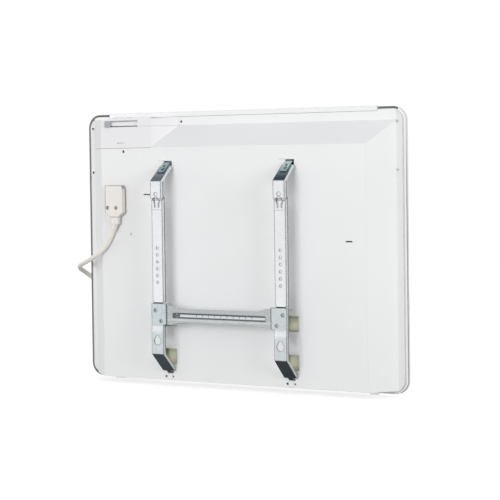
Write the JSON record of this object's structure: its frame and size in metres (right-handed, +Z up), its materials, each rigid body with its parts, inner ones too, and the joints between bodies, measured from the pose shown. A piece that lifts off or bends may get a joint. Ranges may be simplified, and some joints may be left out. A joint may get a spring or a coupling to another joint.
{
  "type": "electric panel heater",
  "caption": "Wall-hung electric panel heater: glass front, folded steel rear casing, zinc-plated wall bracket with hooks and spring catches, control unit, mains cord and plug.",
  "frame": {"origin": "on the wall plane, midway between the two upper screw holes of the wall bracket", "axes": "X to the right as seen from the wall, Y from the wall into the room, Z up"},
  "size_m": [0.5544, 0.206, 0.4041],
  "materials": {
    "tinted_glass": "polished, white backed",
    "coated_steel": "matt white coil coating",
    "adhesive": "matt",
    "zinc_steel": "bright zinc plate",
    "white_steel": "fine textured powder coat",
    "screw_steel": "zinc plate",
    "cream_sheet": "matt",
    "element_aluminium": "mill finish",
    "rod_steel": "satin",
    "dark_plastic": "matt",
    "cream_plastic": "satin",
    "wire_rubber": "satin",
    "white_plastic": "satin",
    "window_plastic": "gloss",
    "board_plastic": "satin",
    "key_plastic": "satin",
    "grey_plastic": "satin",
    "scale_steel": "bright",
    "cord_rubber": "satin",
    "tie_plastic": "satin",
    "cord_plastic": "satin",
    "pin_brass": "nickel plated"
  },
  "bodies": {
    "bracket": {"rail_left": "zinc_steel", "rail_right": "zinc_steel", "strap_left": "zinc_steel", "strap_right": "zinc_steel", "cross_bar": "zinc_steel", "scale_strip": "scale_steel", "clinch_rivets": "zinc_steel", "catch_rivets": "zinc_steel"},
    "catch_left_body": {"catch_left": "zinc_steel"},
    "catch_right_body": {"catch_right": "zinc_steel"},
    "heater": {"front_glass": "tinted_glass", "front_plate": "coated_steel", "bonding_strips": "adhesive", "glass_clips": "zinc_steel", "rear_casing": "white_steel", "casing_screws": "screw_steel", "outlet_grille": "white_steel", "inlet_grille": "white_steel", "heat_shield": "cream_sheet", "compartment_wall": "cream_sheet", "heating_element": "element_aluminium", "element_rod": "rod_steel", "element_supports": "zinc_steel", "thermal_cutout": "dark_plastic", "terminal_block": "cream_plastic", "inner_wiring": "wire_rubber", "control_housing": "white_plastic", "control_module": "white_plastic", "display_window": "window_plastic", "control_board": "board_plastic", "connector_housing": "cream_plastic", "connector_screws": "screw_steel", "strain_relief": "cream_plastic", "power_cord": "cord_rubber", "cord_coil": "cord_rubber", "coil_tie": "tie_plastic", "plug_body": "cord_plastic", "plug_pins": "pin_brass"},
    "lock": {"lock_slider": "grey_plastic"},
    "minus_key": {"key_minus": "key_plastic"},
    "plus_key": {"key_plus": "key_plastic"},
    "mode_key": {"key_mode": "key_plastic"}
  },
  "joints": [
    {"name": "heater_tilt", "type": "hinge", "parent": "bracket", "child": "heater", "pos_m": [0, 0.0365, -0.2619], "axis": [-1, 0, 0], "range_deg": [0, 15]},
    {"name": "catch_left_slide", "type": "slide", "parent": "bracket", "child": "catch_left_body", "axis": [0, -0.7916, -0.6111], "range_m": [0, 0.006], "stiffness_N_per_m": 1500, "springref_m": -0.003},
    {"name": "catch_right_slide", "type": "slide", "parent": "bracket", "child": "catch_right_body", "axis": [0, -0.7916, -0.6111], "range_m": [0, 0.006], "stiffness_N_per_m": 1500, "springref_m": -0.003},
    {"name": "lock_slide", "type": "slide", "parent": "heater", "child": "lock", "axis": [1, 0, 0], "range_m": [0, 0.049]},
    {"name": "minus_key_press", "type": "slide", "parent": "heater", "child": "minus_key", "axis": [0, 0, -1], "range_m": [0, 0.001], "stiffness_N_per_m": 800, "springref_m": -0.0005},
    {"name": "plus_key_press", "type": "slide", "parent": "heater", "child": "plus_key", "axis": [0, 0, -1], "range_m": [0, 0.001], "stiffness_N_per_m": 800, "springref_m": -0.0005},
    {"name": "mode_key_press", "type": "slide", "parent": "heater", "child": "mode_key", "axis": [0, 0, -1], "range_m": [0, 0.001], "stiffness_N_per_m": 800, "springref_m": -0.0005}
  ]
}
